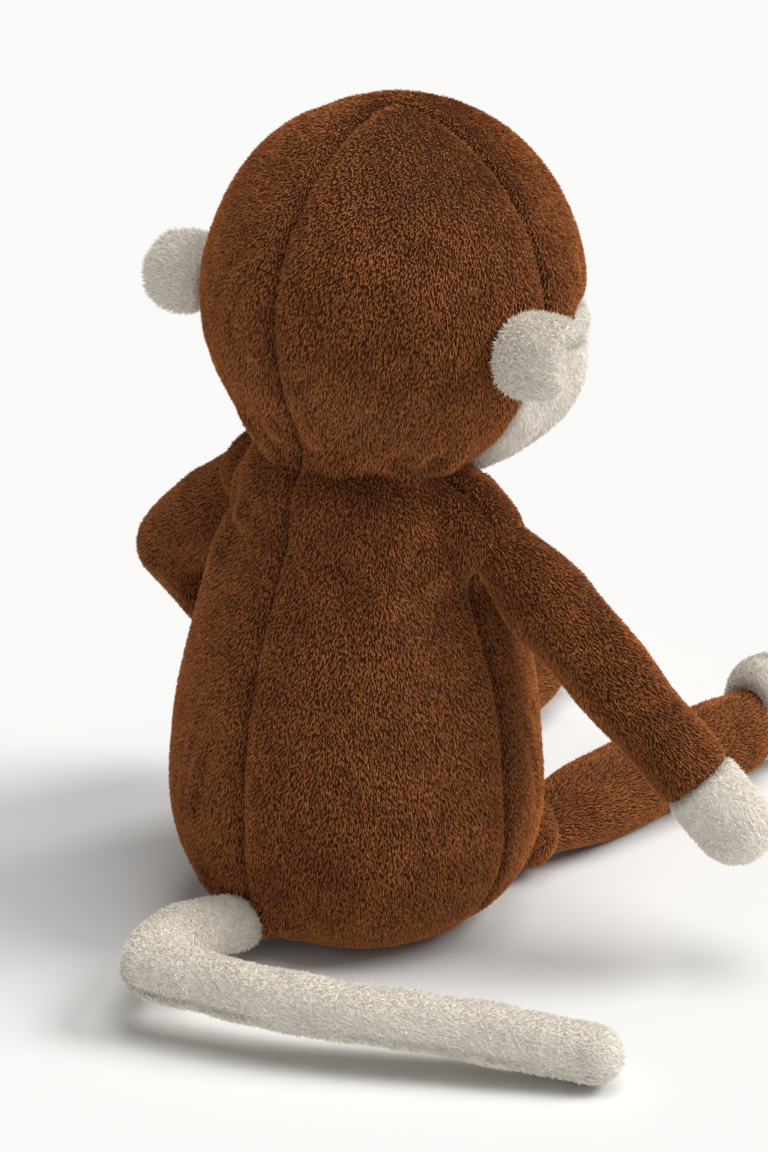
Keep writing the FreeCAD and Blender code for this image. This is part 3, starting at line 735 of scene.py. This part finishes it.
tailSpec = dict(voxel=0.0022, smoothing=5, swell=0.001, pressure=3, lumpSize=0.015, lumps=0.0009,
                outward=0.0012, groove=0.0010, seamOut=0.0098, seamDown=0.0040, seamInside=0.0006,
                stitchHalf=0.0012, shadeHalf=0.0014)
tailRoute = np.array([(0.005, 0.056, 0.012), (0.012, 0.080, 0.016), (-0.004, 0.107, 0.020),
                      (-0.050, 0.095, 0.018), (-0.090, 0.072, 0.0145), (-0.129, 0.053, 0.0102)])
tail = filledForm("tailCover", ["tail_root_stuffing", "tail_end_stuffing"],
                  [((-0.001, 0.102, 0.0192), (0.008,) * 3)], tailSpec)


def besideRoute(spots, route):
    # how far each spot is from the route, and which way the route runs there
    flow = np.zeros((len(spots), 3))
    best = np.full(len(spots), 9.0)
    for first, second in zip(route, route[1:]):
        step = second - first
        share = np.clip((spots - first) @ step / (step @ step), 0, 1)
        gap = np.linalg.norm(spots - first - share[:, None] * step, axis=1)
        nearer = gap < best
        best[nearer] = gap[nearer]
        flow[nearer] = step / np.linalg.norm(step)
    return best, flow


def tailNap(spots):
    return besideRoute(spots, tailRoute)[1]


inflated(tail, [], tailSpec)
modified(tail, "SUBSURF", levels=1, render_levels=1)
lumpy(tail, tailSpec)
tailSpots, tailNormals = readSpots(tail), readNormals(tail)
runs = np.gradient(tailRoute[:, :2], axis=0)
outer = np.stack([-runs[:, 1], runs[:, 0], np.zeros(len(runs))], axis=1)
outer /= -np.linalg.norm(outer, axis=1)[:, None]
tailSeam = tailRoute + outer * tailSpec["seamOut"] - np.array((0, 0, tailSpec["seamDown"]))
gap = np.clip(besideRoute(tailSpots, tailSeam)[0] - tailSpec["seamInside"], 0, None)
sink = tailSpec["groove"] * np.exp(-(gap / tailSpec["stitchHalf"]) ** 2)
# seamShade darkens the colour along the tail seam: painted shade in the channel
storeOn(tail, "seamShade", np.exp(-(gap / tailSpec["shadeHalf"]) ** 2))
writeSpots(tail, tailSpots - tailNormals * sink[:, None])
offFloor(tail)
covered(tail, creamTuft, creamTuftLook, tailNap, 91)
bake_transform(tail)
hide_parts("tail_root_cover", "tail_root_stuffing", "tail_end_cover", "tail_end_stuffing")
print("tail:", len(tail.data.polygons), "faces")


# face: domed eyes, a satin-stitched nose and a stitched smile

for side in ("left", "right"):
    for part, finish in (("_eye", eyeGloss), ("_eye_washer", washerPlastic)):
        nodes[side + part].data.materials.clear()
        nodes[side + part].data.materials.append(finish)

faceSpec = dict(middle=(0, -0.039, 0.177), half=(0.053, 0.042, 0.034), noseHigh=0.189,
                noseHalf=(0.0062, 0.0040), noseThread=0.0005, mouthHigh=0.190,
                noseStitches=19, noseProud=0.0010, mouthRadius=0.027, mouthHalf=62, stitches=15,
                stitchShare=0.78, mouthThread=0.0008, mouthProud=0.0014)


def onMuzzle(x, z, proud):
    middle, half = faceSpec["middle"], faceSpec["half"]
    share = 1 - (x / half[0]) ** 2 - ((z - middle[2]) / half[2]) ** 2
    spot = Vector((x, middle[1] - half[1] * math.sqrt(share), z))
    out = Vector((x / half[0] ** 2, (spot.y - middle[1]) / half[1] ** 2,
                  (z - middle[2]) / half[2] ** 2)).normalized()
    return spot + out * proud, out


def stitched(name, runs, thread):
    # each run gets one stitch, a ball drawn out along the run
    pieces = []
    for first, last, out in runs:
        middle, way = (first + last) / 2, last - first
        bpy.ops.mesh.primitive_uv_sphere_add(segments=10, ring_count=8, radius=1,
                                             location=middle)
        stitch = bpy.context.object
        stitch.scale = (thread, thread, way.length / 2 + thread)
        stitch.rotation_euler = way.to_track_quat("Z", "Y").to_euler()
        pieces.append(stitch)
    whole = joined(name, pieces)
    whole.data.materials.append(floss)
    for polygon in whole.data.polygons:
        polygon.use_smooth = True
    return whole


noseRuns = []
halfWide, halfHigh = faceSpec["noseHalf"]
middleStitch = faceSpec["noseStitches"] // 2
for number in range(faceSpec["noseStitches"]):
    x = halfWide * (number - middleStitch) / (middleStitch + 0.6)
    rise = halfHigh * math.sqrt(1 - (x / halfWide) ** 2)
    top, out = onMuzzle(x, faceSpec["noseHigh"] + rise, faceSpec["noseProud"])
    low = onMuzzle(x, faceSpec["noseHigh"] - rise, faceSpec["noseProud"])[0]
    noseRuns.append((top, low, out))
nosePad = stitched("noseStitching", noseRuns, faceSpec["noseThread"])
mouthRuns = []
for number in range(faceSpec["stitches"]):
    ends = []
    for share in (number, number + faceSpec["stitchShare"]):
        angle = math.radians(faceSpec["mouthHalf"] * (2 * share / faceSpec["stitches"] - 1))
        ends.append(onMuzzle(math.sin(angle) * faceSpec["mouthRadius"],
                             faceSpec["mouthHigh"] - math.cos(angle) * faceSpec["mouthRadius"],
                             faceSpec["mouthProud"]))
    mouthRuns.append((ends[0][0], ends[1][0], ends[0][1]))
smile = stitched("smileStitching", mouthRuns, faceSpec["mouthThread"])
for piece, node in ((nosePad, "nose"), (smile, "mouth")):
    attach(piece, "head")
    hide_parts(node)
print("face done")


# studio: pale floor, a broad lamp overhead and one to the front and right, dim surround

bpy.ops.mesh.primitive_plane_add(size=30, location=(0, 0, 0))
floor = bpy.context.object
floor.name = "studioFloor"
floorPaper = bpy.data.materials.new("paleStudioPaper")
floorPaper.use_nodes = True
paper = floorPaper.node_tree.nodes["Principled BSDF"]
paper.inputs["Base Color"].default_value = colour("#F4F4F3")
paper.inputs["Roughness"].default_value = 0.9
paper.inputs["Specular IOR Level"].default_value = 0.1
floor.data.materials.append(floorPaper)

surround = dict(horizon=0.92, above=0.20, fadeFrom=0.10, fadeTo=0.22)
world = bpy.data.worlds.new("studioAir")
scene.world = world
world.use_nodes = True
air = world.node_tree
height = addNode(air, "ShaderNodeSeparateXYZ", None,
                 {0: addNode(air, "ShaderNodeTexCoord").outputs["Generated"]})
fade = addNode(air, "ShaderNodeValToRGB", None, {"Fac": height.outputs["Z"]})
low, high = fade.color_ramp.elements
low.position, high.position = surround["fadeFrom"], surround["fadeTo"]
low.color = (surround["horizon"],) * 3 + (1,)
high.color = (surround["above"],) * 3 + (1,)
air.links.new(fade.outputs["Color"], air.nodes["Background"].inputs["Color"])

# each lamp: power, softness in degrees, where it stands from the toy
lamps = dict(top=(1.3, 36, (-0.14, -0.04, 1.0)), side=(2.0, 30, (-0.63, -0.49, 0.75)))
for name, (power, softness, stand) in lamps.items():
    lamp = bpy.data.lights.new(name + "Lamp", "SUN")
    lamp.energy = power
    lamp.angle = math.radians(softness)
    lamp.color = (1.0, 0.995, 0.985)
    stood = bpy.data.objects.new(name + "Lamp", lamp)
    scene.collection.objects.link(stood)
    stood.rotation_euler = Vector(stand).to_track_quat("Z", "Y").to_euler()

view = dict(azimuth=218, rise=22, reach=1.183, target=(0, 0, 0.11375), tall=17.2,
            shift=(0.0226, -0.0061))
turn, tilt = math.radians(view["azimuth"]), math.radians(view["rise"])
back = Vector((math.sin(turn) * math.cos(tilt), -math.cos(turn) * math.cos(tilt), math.sin(tilt)))
lens = bpy.data.cameras.new("camera")
lens.sensor_fit = "VERTICAL"
lens.angle = math.radians(view["tall"])
lens.shift_x, lens.shift_y = view["shift"]
camera = bpy.data.objects.new("camera", lens)
scene.collection.objects.link(camera)
camera.location = Vector(view["target"]) + back * view["reach"]
camera.rotation_euler = back.to_track_quat("Z", "Y").to_euler()
scene.camera = camera
scene.view_settings.view_transform = "Standard"

for tuft in (brownTuft, creamTuft, earTuft):
    bpy.data.objects.remove(tuft)
